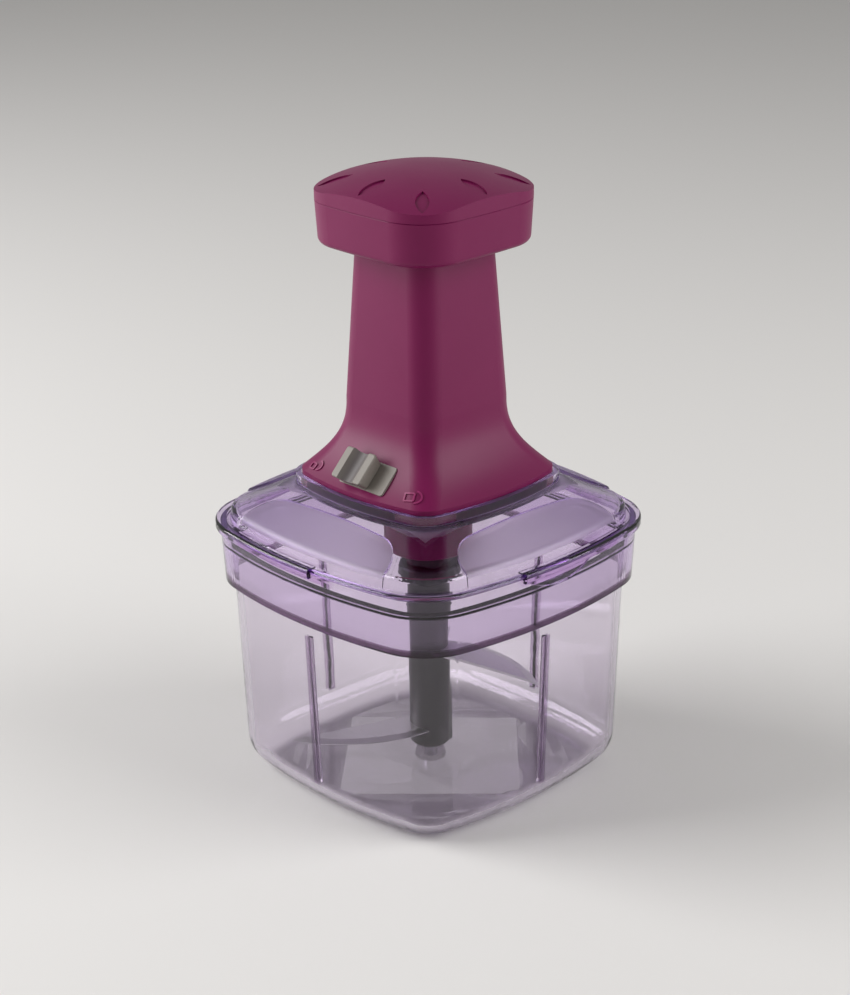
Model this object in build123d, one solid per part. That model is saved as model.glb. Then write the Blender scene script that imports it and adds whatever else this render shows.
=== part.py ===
from build123d import *
from collections import namedtuple
import math
import os

os.makedirs("parts", exist_ok=True)

# A hand-driven vegetable chopper. Pushing the handle down turns a twisted spindle,
# which spins three blades in the bowl. Sizes are in millimetres, +Z is up, and the
# origin is the middle of the face that the bowl stands on. The lock is on the -Y side.

# A plan outline: a square with bulged sides and round corners. half is the distance
# from the axis to the middle of a side, side_radius the radius of that side's arc.
Outline = namedtuple("Outline", "half side_radius corner")

# Bowl
LID_PLAN = Outline(64.0, 202.0, 24.0)
BOWL_HEIGHT = 91.0
BOWL_WALL = 2.4
BOWL_FLOOR = 2.6
BOWL_TAPER = 3.6
BOWL_FOOT_RADIUS = 13.0
BOWL_RIB_RADIUS = 1.2
BOWL_RIB_BOTTOM = 11.6
BOWL_RIB_TOP = 70.0
BOSS_RADIUS = 7.0
BOSS_HEIGHT = 5.4
BOSS_TAPER = 1.5
PIN_RADIUS = 2.0
PIN_LENGTH = 23.0
PIN_CHAMFER = 0.5

# Blade unit
SHAFT_RADIUS = 8.8
SHAFT_FLOOR_GAP = 0.8
FLANGE_RADIUS = 12.0
FLANGE_THICKNESS = 5.0
FLANGE_ROUND = 1.2
SHAFT_CHAMFER = 1.0
HEX_WIDTH = 9.0
HEX_HEIGHT = 7.7
HEX_END_GAP = 0.6
HEX_CHAMFER = 0.6
BLADE_UNIT_GAP = 0.5
BLADE_THICKNESS = 1.0
BLADE_CLEARANCE = 2.0
BLADE_ROOT = 7.2
BLADE_BELLY = 11.5
BLADE_BEVEL = 3.0
BLADE_BEVEL_DEPTH = 0.75
BLADE_EYE_MARGIN = 1.5
BLADE_TIP_WIDTH = 2.3
BLADE_HOLLOW = 1.44
LOWER_BLADE_Z = 16.0
BLADE_SPACING = 16.0

# Lid
LID_WALL = 2.4
LID_GAP = 0.4
ROOF_DROP_SHARE = 0.6
SKIRT_OVERLAP = 14.0
SKIRT_HEIGHT = 21.0
SKIRT_FLARE = 1.2
RIM_HEIGHT = 2.2
RIM_ROUND = 1.4
RIM_INSET = 4.2
ROOF_STEP = 4.4
ROOF_STEP_LEAN = 0.6
ROOF_EDGE_ROUND = 2.2
ROOF_RISE = 10.0
COLLAR_RISE = 3.4
SEAT_WIDTH = 2.6
SEAT_THICKNESS = 1.2
COLLAR_PLAN = Outline(40.6, 120.0, 12.0)
COLLAR_WALL = 2.0
WELL_DEPTH = 4.0
PAD_RISE = 0.8
PAD_HALF = 37.5
PAD_BACK_SETBACK = 5.0
PAD_BACK_CORNER = 13.0
GRIP_DEPTH = 1.8
GRIP_RISE = 0.6
GRIP_HEIGHT = 3.8
GRIP_ROUND = 1.1
GRIP_FRONT_END = 8.0
GRIP_SIDE_END = 16.6
TAB_WIDTH = 35.6
TAB_HEIGHT = 5.7
TAB_DEPTH = 1.6

# Drive
HOUSING_RADIUS = 16.2
HOUSING_WALL = 2.3
HOUSING_DEPTH = 24.6
HOUSING_ROUND = 2.0
HOUSING_FLOOR = 2.4
MOUNT_RADIUS = 21.5
MOUNT_THICKNESS = 2.4
SCREW_CIRCLE = 19.2
SCREW_RADIUS = 1.2
SCREW_HEAD_RADIUS = 2.2
SCREW_HEAD_HEIGHT = 1.4
SCREW_HEAD_ROUND = 0.6
SCREW_END_GAP = 0.4
SCREW_THREAD_ROOF = 0.8
SCREW_GAP = 0.2
SCREW_BITE = 3.6
SCREW_BOSS_RADIUS = 2.2
SPIGOT_RADIUS = 13.2
SPIGOT_GAP = 0.2
WASHER_THICKNESS = 0.6
CUP_WALL = 1.0
CUP_GAP = 0.3
CUP_FLOOR = 4.0
CUP_HEADROOM = 2.0
STUB_RADIUS = 9.0
STUB_DROP = 5.0
HEX_GAP = 0.15
RATCHET_TEETH = 18
RATCHET_DEPTH = 1.2
RATCHET_RAMP = 0.92
RUNNING_GAP = 0.05
PAWL_GAP = 0.3
PAWL_THICKNESS = 1.3
DRIVER_HUB_RADIUS = 7.0
DRIVER_HEIGHT = 6.5
DRIVER_LIFT = 1.0
DRIVER_PIN_RADIUS = 1.0
DRIVER_PIN_INSET = 0.3
SPINDLE_RADIUS = 4.2
SPINDLE_BAR = 3.6
SPINDLE_EDGE_ROUND = 1.1
SPINDLE_PITCH = 30.0
SPINDLE_PLAIN_LENGTH = 1.0
PILOT_RADIUS = 2.4
PILOT_LENGTH = 2.5
COLLAR_RADIUS = 6.4
COLLAR_GAP = 0.1
BUSH_RADIUS = 7.0
BUSH_FLANGE_RADIUS = 8.6
BUSH_FLANGE = 1.2

# Handle
TRAVEL = 50.0
STOP_GAP = 0.3
FLARE_LIP = 1.5
FLARE_HEIGHT = 27.5
FLARE_POWER = 2.6
NECK_FOOT_PLAN = Outline(23.5, 240.0, 9.0)
NECK_TOP_PLAN = Outline(20.2, 240.0, 9.0)
NECK_LENGTH = 57.4
HANDLE_WALL = 2.4
CAP_PLAN = Outline(32.9, 300.0, 18.0)
CAP_TAPER = 1.0
CAP_RING_HEIGHT = 16.0
CAP_FLOOR = 2.6
CAP_ROUND = 2.4
SEAM_CHAMFER = 0.4
COVER_HEIGHT = 11.0
COVER_DOME_RISE = 8.0
COVER_WALL = 2.2
COVER_SPIGOT = 5.0
COVER_GAP = 0.2
LEAF_LENGTH = 13.0
LEAF_WIDTH = 5.0
LEAF_DEPTH = 0.6
LEAF_SETBACK = 1.6
TOWER_WALL = 2.6
TOWER_HEADROOM = 10.0
TOWER_CHAMFER = 0.8
SLEEVE_RADIUS = 11.5
SLEEVE_BORE = 6.6
SLEEVE_FLANGE = 16.0
SLEEVE_FLANGE_THICKNESS = 2.4
SLEEVE_SCREW_HEAD = 2.0
SLEEVE_SCREW_BITE = 2.0
KEY_WIDTH = 2.6
KEY_DEPTH = 1.1
KEY_LENGTH = 7.0
KEY_ROOT = 1.0
KEY_GAP = 0.2
NUT_RADIUS = 8.4
NUT_FLANGE = 11.2
NUT_FLANGE_THICKNESS = 2.4
NUT_HEIGHT = 12.4
NUT_GAP = 0.3
NUT_SLOT_RUNOUT = 1.0
NUT_SCREW_RADIUS = 0.9
NUT_SCREW_HEAD = 1.6
NUT_SCREW_HEAD_HEIGHT = 1.0
NUT_SCREW_LENGTH = 7.0
SPRING_WIRE = 1.2
SPRING_RADIUS = 9.6
SPRING_TURNS = 8
SPRING_REST_LENGTH = 15.2

# Lock
LOCK_ANGLE = 45.0
LOCK_DEPTH_Y = 32.1
LOCK_RISE = 5.9
LOCK_CENTRE_X = 2.75
PLATE_LENGTH = 22.0
PLATE_WIDTH = 11.6
PLATE_THICKNESS = 1.2
PLATE_CORNER = 0.9
PLATE_MARGIN = 0.8
LOCK_WALL = 3.4
THUMB_LENGTH = 15.0
THUMB_WIDTH = 12.8
THUMB_HEIGHT = 5.4
THUMB_SCOOP = 5.0
THUMB_SCOOP_DEPTH = 2.0
THUMB_ROUND = 1.1
THUMB_UNDERCUT = 0.9
THUMB_GAP = 0.15
LOCK_TRAVEL = 6.5
LOCK_NECK_LENGTH = 4.0
LOCK_NECK_OFFSET = 4.0
LOCK_NECK_WIDTH = 3.4
LOCK_GAP = 0.3
KEEPER_LENGTH = 12.0
KEEPER_WIDTH = 7.0
KEEPER_THICKNESS = 1.6
BOLT_LENGTH = 7.0
BOLT_THICKNESS = 2.0
TOE_DEPTH = 5.0
TOE_THICKNESS = 2.0
HOOK_LENGTH = 8.0
HOOK_THICKNESS = 2.0
HOOK_GAP = 0.4
HOOK_CLEARANCE = 2.2
HOOK_OVERLAP = 0.6

# Heights that follow from the sizes above
SKIRT_BOTTOM_Z = BOWL_HEIGHT - SKIRT_OVERLAP
SHOULDER_Z = SKIRT_BOTTOM_Z + SKIRT_HEIGHT
RIM_Z = SHOULDER_Z + RIM_HEIGHT
ROOF_EDGE_Z = RIM_Z + ROOF_STEP
ROOF_TOP_Z = ROOF_EDGE_Z + ROOF_RISE
COLLAR_Z = ROOF_TOP_Z + COLLAR_RISE
WELL_TOP_Z = COLLAR_Z - WELL_DEPTH
WELL_UNDER_Z = WELL_TOP_Z - LID_WALL
HOUSING_BOTTOM_Z = WELL_UNDER_Z - HOUSING_DEPTH
WASHER_Z = HOUSING_BOTTOM_Z + HOUSING_FLOOR
CUP_Z = WASHER_Z + WASHER_THICKNESS
CUP_FLOOR_Z = CUP_Z + CUP_FLOOR
CUP_TOP_Z = WELL_UNDER_Z - CUP_HEADROOM
STUB_BOTTOM_Z = HOUSING_BOTTOM_Z - STUB_DROP
FLANGE_TOP_Z = STUB_BOTTOM_Z - BLADE_UNIT_GAP
DRIVER_Z = CUP_FLOOR_Z + DRIVER_LIFT
DRIVER_TOP_Z = DRIVER_Z + DRIVER_HEIGHT
BUSH_Z = WELL_UNDER_Z - BUSH_FLANGE
MOUNT_TOP_Z = WELL_TOP_Z + MOUNT_THICKNESS
NUT_Z = MOUNT_TOP_Z + SPRING_REST_LENGTH
SLEEVE_Z = NUT_Z + NUT_FLANGE_THICKNESS
NUT_TOP_Z = NUT_Z + NUT_HEIGHT
HANDLE_Z = WELL_TOP_Z + STOP_GAP
FLARE_Z = COLLAR_Z + FLARE_LIP
NECK_Z = FLARE_Z + FLARE_HEIGHT
CAP_Z = NECK_Z + NECK_LENGTH
CAP_FLOOR_Z = CAP_Z + CAP_FLOOR
COVER_Z = CAP_Z + CAP_RING_HEIGHT
COVER_TOP_Z = COVER_Z + COVER_HEIGHT
TOWER_TOP_Z = CAP_Z - TOWER_HEADROOM
SPINDLE_TOP_Z = NUT_TOP_Z + TRAVEL + SPINDLE_RADIUS
LOCK_Z = FLARE_Z + LOCK_RISE


def grown(plan, by):
    """The outline that lies at an even distance outside a plan, or inside it if by is negative"""
    return Outline(plan.half + by, plan.side_radius + by, plan.corner + by)


def plan_face(plan, z):
    """The flat face of a plan outline at a height"""
    arc_centre = plan.side_radius - plan.half
    reach = (math.sqrt(2 * plan.side_radius**2 - arc_centre**2) - arc_centre) / 2
    side = ThreePointArc((reach, -reach), (plan.half, 0), (reach, reach))
    face = make_face([Rot(Z=90 * quarter) * side for quarter in range(4)])
    return Pos(Z=z) * fillet(face.vertices(), plan.corner)


def prism(plan, bottom, top):
    """An upright block of a plan outline between two heights"""
    return extrude(plan_face(plan, bottom), top - bottom)


def disc(radius, bottom, top):
    """A round block on the axis between two heights"""
    return Pos(Z=bottom) * Cylinder(radius, top - bottom, align=(Align.CENTER, Align.CENTER, Align.MIN))


def ring(outer, inner, bottom, top):
    """A tube on the axis between two heights"""
    return disc(outer, bottom, top) - disc(inner, bottom, top)


def around(shape, count, radius, first=0.0):
    """Copies of a shape, turned about the axis and standing at a radius"""
    return [Rot(Z=first + 360 * i / count) * Pos(X=radius) * shape for i in range(count)]


def one_piece(shape):
    """The single solid of a shape"""
    return shape.solids().sort_by(SortBy.VOLUME)[-1]


def level_edges(shape, z, tolerance=0.01):
    """The edges of a shape that lie flat at one height"""
    return shape.edges().filter_by_position(Axis.Z, z - tolerance, z + tolerance)


LID_INNER = grown(LID_PLAN, -LID_WALL)
BOWL_RIM_PLAN = grown(LID_INNER, -LID_GAP)
BOWL_FOOT_PLAN = grown(BOWL_RIM_PLAN, -BOWL_TAPER)
SHOULDER_PLAN = grown(LID_PLAN, SKIRT_FLARE)
ROOF_EDGE_PLAN = grown(SHOULDER_PLAN, -RIM_INSET)
WELL_PLAN = grown(COLLAR_PLAN, -COLLAR_WALL)
HANDLE_FOOT_PLAN = grown(WELL_PLAN, -LID_GAP)


def bowl_half_at(z, inset):
    """Distance from the axis to the middle of the bowl's side at a height"""
    return BOWL_FOOT_PLAN.half + BOWL_TAPER * z / BOWL_HEIGHT - inset


def make_bowl():
    outer = loft([plan_face(BOWL_FOOT_PLAN, 0), plan_face(BOWL_RIM_PLAN, BOWL_HEIGHT)], ruled=True)
    outer = fillet(level_edges(outer, 0), BOWL_FOOT_RADIUS)
    inner_foot = grown(BOWL_FOOT_PLAN, -BOWL_WALL)
    inner_rim = grown(BOWL_RIM_PLAN, -BOWL_WALL)
    inner = loft([plan_face(inner_foot, BOWL_FLOOR), plan_face(inner_rim, BOWL_HEIGHT)], ruled=True)
    inner = fillet(level_edges(inner, BOWL_FLOOR), BOWL_FOOT_RADIUS - BOWL_WALL)
    low = Pos(bowl_half_at(BOWL_RIB_BOTTOM, BOWL_WALL), 0, BOWL_RIB_BOTTOM) * Circle(BOWL_RIB_RADIUS)
    high = Pos(bowl_half_at(BOWL_RIB_TOP, BOWL_WALL), 0, BOWL_RIB_TOP) * Circle(BOWL_RIB_RADIUS)
    rib = loft([low, high], ruled=True)
    boss = Pos(Z=BOWL_FLOOR) * Cone(BOSS_RADIUS, BOSS_RADIUS - BOSS_TAPER, BOSS_HEIGHT,
                                    align=(Align.CENTER, Align.CENTER, Align.MIN))
    bowl = outer - inner + boss
    bowl += [Rot(Z=90 * quarter) * rib for quarter in range(4)]
    return one_piece(bowl - disc(PIN_RADIUS, BOWL_FLOOR, BOWL_HEIGHT))


PIN_TOP_Z = BOWL_FLOOR + PIN_LENGTH
BLADE_REACH = bowl_half_at(LOWER_BLADE_Z, BOWL_WALL + BOWL_RIB_RADIUS + BLADE_CLEARANCE)


def make_centre_pin():
    pin = disc(PIN_RADIUS, BOWL_FLOOR, PIN_TOP_Z)
    return chamfer(level_edges(pin, PIN_TOP_Z), PIN_CHAMFER)


def make_blade(z, angle):
    """A curved blade with a punched eye round the shaft's core"""
    tip = (BLADE_REACH, BLADE_TIP_WIDTH)
    lead = ThreePointArc((0, BLADE_ROOT), (BLADE_REACH * 0.6, BLADE_BELLY), tip)
    trail = ThreePointArc(tip, (BLADE_REACH * 0.5, -BLADE_HOLLOW), (0, -BLADE_ROOT))
    arm = make_face([lead, trail, Line((0, -BLADE_ROOT), (0, BLADE_ROOT))])
    sheet = arm + Circle(BLADE_ROOT)
    sheet -= Circle(PIN_RADIUS + BLADE_EYE_MARGIN)
    blade = extrude(sheet, BLADE_THICKNESS)
    top_edges = level_edges(blade, BLADE_THICKNESS)
    lead_edge = top_edges.sort_by_distance(lead @ 0.5)[0]
    blade = chamfer(lead_edge, BLADE_BEVEL_DEPTH, BLADE_BEVEL)
    return one_piece(Pos(Z=z) * Rot(Z=angle) * blade)


def make_blades():
    names = ["lower_blade", "middle_blade", "upper_blade"]
    blades = {}
    for level, name in enumerate(names):
        z = LOWER_BLADE_Z + BLADE_SPACING * level
        blades[name] = make_blade(z, 240 - 120 * level)
    return blades


def make_blade_shaft(blades):
    bottom = BOWL_FLOOR + BOSS_HEIGHT + SHAFT_FLOOR_GAP
    column = disc(SHAFT_RADIUS, bottom, FLANGE_TOP_Z)
    column = chamfer(level_edges(column, bottom), SHAFT_CHAMFER)
    flange = disc(FLANGE_RADIUS, FLANGE_TOP_Z - FLANGE_THICKNESS, FLANGE_TOP_Z)
    flange = fillet(flange.edges().filter_by(GeomType.CIRCLE), FLANGE_ROUND)
    hexagon = RegularPolygon(HEX_WIDTH / 2, 6, major_radius=False)
    stub = extrude(Pos(Z=FLANGE_TOP_Z) * hexagon, HEX_HEIGHT)
    stub = chamfer(level_edges(stub, FLANGE_TOP_Z + HEX_HEIGHT), HEX_CHAMFER)
    shaft = column + flange + stub
    shaft -= disc(PIN_RADIUS + RUNNING_GAP, bottom, PIN_TOP_Z)
    for blade in blades.values():
        shaft -= blade
    return one_piece(shaft)


def roof_body(out, up, edge_round):
    """The block under the lid's roof, with its stepped front, from the rim up to the collar's foot"""
    body = loft([
        plan_face(grown(ROOF_EDGE_PLAN, out + ROOF_STEP_LEAN), RIM_Z + min(up, 0)),
        plan_face(grown(ROOF_EDGE_PLAN, out), ROOF_EDGE_Z + up),
        plan_face(grown(COLLAR_PLAN, out), ROOF_TOP_Z + up),
    ], ruled=True)
    return fillet(level_edges(body, ROOF_EDGE_Z + up), edge_round)


def make_pad():
    """One raised pad of the roof, on the -Y side"""
    back = COLLAR_PLAN.half + PAD_BACK_SETBACK
    front = LID_PLAN.half * 1.5
    outline = make_face(Polyline(
        (-PAD_HALF, -back), (PAD_HALF, -back), (PAD_HALF, -front), (-PAD_HALF, -front), close=True))
    outline = fillet(outline.vertices().sort_by(Axis.Y)[-2:], PAD_BACK_CORNER)
    slope = math.atan2(ROOF_RISE, ROOF_EDGE_PLAN.half - COLLAR_PLAN.half)
    raised = roof_body(PAD_RISE * math.sin(slope), PAD_RISE * math.cos(slope), ROOF_EDGE_ROUND + PAD_RISE)
    return extrude(Pos(Z=RIM_Z) * outline, COLLAR_Z - RIM_Z) & raised


def make_grip():
    """The thick lip of the rim round the -X -Y corner, where the lid is gripped"""
    top = RIM_Z + GRIP_RISE
    bottom = top - GRIP_HEIGHT
    lip = prism(grown(SHOULDER_PLAN, GRIP_DEPTH), bottom, top)
    lip = fillet(level_edges(lip, top) + level_edges(lip, bottom), GRIP_ROUND)
    lip -= prism(grown(SHOULDER_PLAN, -LID_WALL), bottom, top)
    reach = 2 * LID_PLAN.half
    return lip & Pos(GRIP_FRONT_END, GRIP_SIDE_END, RIM_Z) * Box(reach, reach, reach,
                                                                align=(Align.MAX, Align.MAX, Align.CENTER))


def make_thumb_tab():
    """A lens-shaped lip under the shoulder, for lifting the lid off"""
    radius = (TAB_WIDTH**2 / 4 + TAB_HEIGHT**2) / (2 * TAB_HEIGHT)
    top = RIM_Z + GRIP_RISE - GRIP_HEIGHT / 2
    band = prism(grown(SHOULDER_PLAN, TAB_DEPTH), top - TAB_HEIGHT, top)
    lens = Pos(Z=top - TAB_HEIGHT + radius) * Rot(Y=90) * Cylinder(radius, 4 * LID_PLAN.half)
    return band & lens & Pos(X=LID_PLAN.half) * Box(LID_PLAN.half, 2 * TAB_WIDTH, 4 * LID_PLAN.half)


def make_lock_hook():
    """The hook inside the well that the lock's toe slides under"""
    shelf = Box(HOOK_LENGTH, HOOK_REACH + HOOK_THICKNESS, HOOK_THICKNESS,
                align=(Align.MIN, Align.MAX, Align.MIN))
    post = Box(HOOK_LENGTH, HOOK_THICKNESS, HOOK_SHELF_Z - WELL_TOP_Z + HOOK_THICKNESS,
               align=(Align.MIN, Align.MAX, Align.MIN))
    return Pos(HOOK_X, HOOK_INNER_Y, HOOK_SHELF_Z) * shelf + Pos(HOOK_X, HOOK_INNER_Y, WELL_TOP_Z) * post


def make_lid():
    skirt = loft([plan_face(LID_PLAN, SKIRT_BOTTOM_Z), plan_face(SHOULDER_PLAN, SHOULDER_Z)], ruled=True)
    rim = fillet(level_edges(prism(SHOULDER_PLAN, SHOULDER_Z, RIM_Z), RIM_Z), RIM_ROUND)
    outer = skirt + rim + roof_body(0, 0, ROOF_EDGE_ROUND) + prism(COLLAR_PLAN, WELL_UNDER_Z, COLLAR_Z)
    outer += [Rot(Z=90 * quarter) * make_pad() for quarter in range(4)]
    grip = make_grip()
    outer += [grip, Rot(Z=180) * grip]
    roof_drop = LID_WALL * ROOF_DROP_SHARE
    inner = loft([
        plan_face(LID_INNER, SKIRT_BOTTOM_Z),
        plan_face(grown(SHOULDER_PLAN, -LID_WALL), SHOULDER_Z - roof_drop),
    ], ruled=True)
    inner += prism(grown(SHOULDER_PLAN, -LID_WALL), SHOULDER_Z - roof_drop, RIM_Z - LID_WALL)
    inner += roof_body(-LID_WALL, -roof_drop, ROOF_EDGE_ROUND - roof_drop)
    step_plan = grown(ROOF_EDGE_PLAN, ROOF_STEP_LEAN - LID_WALL)
    inner += prism(step_plan, SHOULDER_Z - roof_drop, RIM_Z - roof_drop)
    cup = prism(COLLAR_PLAN, WELL_UNDER_Z, COLLAR_Z)
    lid = outer - (inner - cup)
    lid -= prism(WELL_PLAN, WELL_TOP_Z, COLLAR_Z)
    seat = prism(grown(LID_INNER, LID_WALL / 2), BOWL_HEIGHT, BOWL_HEIGHT + SEAT_THICKNESS)
    seat -= prism(grown(LID_INNER, -SEAT_WIDTH), BOWL_HEIGHT, BOWL_HEIGHT + SEAT_THICKNESS)
    lid += seat
    tab = make_thumb_tab() - inner
    lid += [tab, Rot(Z=180) * tab]
    lid += make_lock_hook()
    lid -= disc(SPIGOT_RADIUS + SPIGOT_GAP, WELL_UNDER_Z, WELL_TOP_Z)
    lid -= around(disc(SCREW_RADIUS + SCREW_GAP, WELL_UNDER_Z, WELL_TOP_Z), 4, SCREW_CIRCLE, 45)
    return one_piece(lid)


def make_drive_housing():
    bore = HOUSING_RADIUS - HOUSING_WALL
    boss = disc(HOUSING_RADIUS, HOUSING_BOTTOM_Z, WELL_UNDER_Z)
    boss = fillet(level_edges(boss, HOUSING_BOTTOM_Z), HOUSING_ROUND)
    housing = boss + disc(MOUNT_RADIUS, WELL_UNDER_Z - MOUNT_THICKNESS, WELL_UNDER_Z)
    housing -= disc(bore, WASHER_Z, WELL_UNDER_Z)
    housing -= disc(STUB_RADIUS + RUNNING_GAP, HOUSING_BOTTOM_Z, WASHER_Z)
    holes = disc(SCREW_RADIUS + SCREW_GAP, HOUSING_BOTTOM_Z, WELL_UNDER_Z)
    housing -= around(holes, 4, SCREW_CIRCLE, 45)
    return one_piece(housing)


def make_guide_tower():
    bore = SLEEVE_RADIUS + RUNNING_GAP
    tower = disc(MOUNT_RADIUS, WELL_TOP_Z, MOUNT_TOP_Z)
    tower += disc(SPIGOT_RADIUS, WELL_UNDER_Z, MOUNT_TOP_Z)
    tube = disc(bore + TOWER_WALL, MOUNT_TOP_Z, TOWER_TOP_Z)
    tower += chamfer(level_edges(tube, TOWER_TOP_Z), TOWER_CHAMFER)
    boss = disc(SCREW_BOSS_RADIUS, WELL_TOP_Z, MOUNT_TOP_Z + SCREW_BITE)
    tower += around(boss, 4, SCREW_CIRCLE, 45)
    tower -= disc(bore, MOUNT_TOP_Z, TOWER_TOP_Z)
    tower -= disc(BUSH_RADIUS, WELL_UNDER_Z, MOUNT_TOP_Z)
    groove_top = SLEEVE_Z + KEY_LENGTH + TRAVEL + STOP_GAP
    groove = Box(KEY_ROOT + KEY_DEPTH + KEY_GAP, KEY_WIDTH + 2 * KEY_GAP, groove_top - MOUNT_TOP_Z,
                 align=(Align.MIN, Align.CENTER, Align.MIN))
    tower -= around(Pos(X=-KEY_ROOT, Z=MOUNT_TOP_Z) * groove, 2, SLEEVE_RADIUS)
    thread = disc(SCREW_RADIUS, WELL_TOP_Z, MOUNT_TOP_Z + SCREW_BITE - SCREW_THREAD_ROOF)
    tower -= around(thread, 4, SCREW_CIRCLE, 45)
    return one_piece(tower)


def make_housing_screws():
    low = WELL_UNDER_Z - MOUNT_THICKNESS
    high = MOUNT_TOP_Z + SCREW_BITE - SCREW_THREAD_ROOF - SCREW_END_GAP
    head = disc(SCREW_HEAD_RADIUS, low - SCREW_HEAD_HEIGHT, low)
    head = fillet(level_edges(head, low - SCREW_HEAD_HEIGHT), SCREW_HEAD_ROUND)
    screw = head + disc(SCREW_RADIUS, low, high)
    return around(one_piece(screw), 4, SCREW_CIRCLE, 45)


def make_spindle_bush():
    bush = disc(BUSH_RADIUS, WELL_UNDER_Z, MOUNT_TOP_Z) + disc(BUSH_FLANGE_RADIUS, BUSH_Z, WELL_UNDER_Z)
    return one_piece(bush - disc(SPINDLE_RADIUS + RUNNING_GAP, BUSH_Z, MOUNT_TOP_Z))


def make_thrust_washer():
    outer = HOUSING_RADIUS - HOUSING_WALL - CUP_GAP
    return one_piece(ring(outer, STUB_RADIUS + CUP_GAP, WASHER_Z, CUP_Z))


def make_return_spring():
    """A coil of round wire round the spindle, between the tower's foot and the nut"""
    height = SPRING_REST_LENGTH - SPRING_WIRE
    pitch = height / SPRING_TURNS
    path = Helix(pitch, height, SPRING_RADIUS)
    start = Plane(path @ 0, z_dir=path % 0)
    coil = sweep(start * Circle(SPRING_WIRE / 2), path)
    print("return spring: least gap between turns %.2f mm" % (pitch - SPRING_WIRE))
    return one_piece(Pos(Z=MOUNT_TOP_Z + SPRING_WIRE / 2) * coil)


def bar_section(gap):
    """The flat bar's section, with rounded edges, grown by a gap"""
    return RectangleRounded(2 * (SPINDLE_RADIUS + gap), SPINDLE_BAR + 2 * gap, SPINDLE_EDGE_ROUND + gap)


def twisted_bar(gap, bottom, top):
    """A length of the twisted bar between two heights. Its turn is right-handed."""
    turned = 360 * (bottom - SPINDLE_TWIST_Z) / SPINDLE_PITCH
    angle = 360 * (top - bottom) / SPINDLE_PITCH
    section = (Rot(Z=turned) * bar_section(gap)).face()
    return Pos(Z=bottom) * Solid.extrude_linear_with_rotation(section, (0, 0, 0), (0, 0, top - bottom), angle)


SPINDLE_TWIST_Z = MOUNT_TOP_Z + SPINDLE_PLAIN_LENGTH


def make_twist_spindle():
    spindle = disc(SPINDLE_RADIUS, CUP_FLOOR_Z, SPINDLE_TWIST_Z)
    spindle += disc(PILOT_RADIUS, CUP_FLOOR_Z - PILOT_LENGTH, CUP_FLOOR_Z)
    spindle += disc(COLLAR_RADIUS, DRIVER_TOP_Z, BUSH_Z - COLLAR_GAP)
    spindle += twisted_bar(0, SPINDLE_TWIST_Z, SPINDLE_TOP_Z)
    spindle -= driver_pin_block()
    return one_piece(spindle)


def driver_pin_block():
    """The straight pin that crosses the driver's hub and the spindle"""
    middle = (DRIVER_Z + DRIVER_TOP_Z) / 2
    return Pos(Z=middle) * Rot(Y=90) * Cylinder(DRIVER_PIN_RADIUS, 2 * (DRIVER_HUB_RADIUS - DRIVER_PIN_INSET))


def make_pawl_driver():
    """The hub that the pin fixes to the spindle, with three springy pawls"""
    tooth_tip = CUP_RADIUS - CUP_WALL - RATCHET_DEPTH
    reach = tooth_tip - PAWL_GAP - PAWL_THICKNESS / 2
    arm_radius = (reach + DRIVER_HUB_RADIUS - PAWL_THICKNESS) / 2
    arm = CenterArc((reach - arm_radius, 0), arm_radius, 0, 150)
    pawl = SlotArc(arm, PAWL_THICKNESS)
    plan = Circle(DRIVER_HUB_RADIUS) + [Rot(Z=120 * third) * pawl for third in range(3)]
    plan -= Circle(SPINDLE_RADIUS)
    driver = extrude(Pos(Z=DRIVER_Z) * plan, DRIVER_HEIGHT)
    return one_piece(driver - driver_pin_block())


CUP_RADIUS = HOUSING_RADIUS - HOUSING_WALL - CUP_GAP


def make_drive_coupling():
    """The cup that the pawls drive, with saw teeth inside and a hexagon socket below"""
    root = CUP_RADIUS - CUP_WALL
    step = 2 * math.pi / RATCHET_TEETH
    points = []
    for tooth in range(RATCHET_TEETH):
        start = tooth * step
        points.append((root * math.cos(start), root * math.sin(start)))
        end = start + step * RATCHET_RAMP
        points.append(((root - RATCHET_DEPTH) * math.cos(end), (root - RATCHET_DEPTH) * math.sin(end)))
    teeth = make_face(Polyline(*points, close=True))
    cup = disc(CUP_RADIUS, CUP_Z, CUP_TOP_Z) - extrude(Pos(Z=CUP_FLOOR_Z) * teeth, CUP_TOP_Z - CUP_FLOOR_Z)
    cup += disc(STUB_RADIUS, STUB_BOTTOM_Z, CUP_Z)
    socket = RegularPolygon(HEX_WIDTH / 2 + HEX_GAP, 6, major_radius=False)
    cup -= extrude(Pos(Z=STUB_BOTTOM_Z) * socket, FLANGE_TOP_Z + HEX_HEIGHT + HEX_END_GAP - STUB_BOTTOM_Z)
    cup -= disc(PILOT_RADIUS + RUNNING_GAP, CUP_FLOOR_Z - PILOT_LENGTH, CUP_FLOOR_Z)
    return one_piece(cup)


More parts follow.
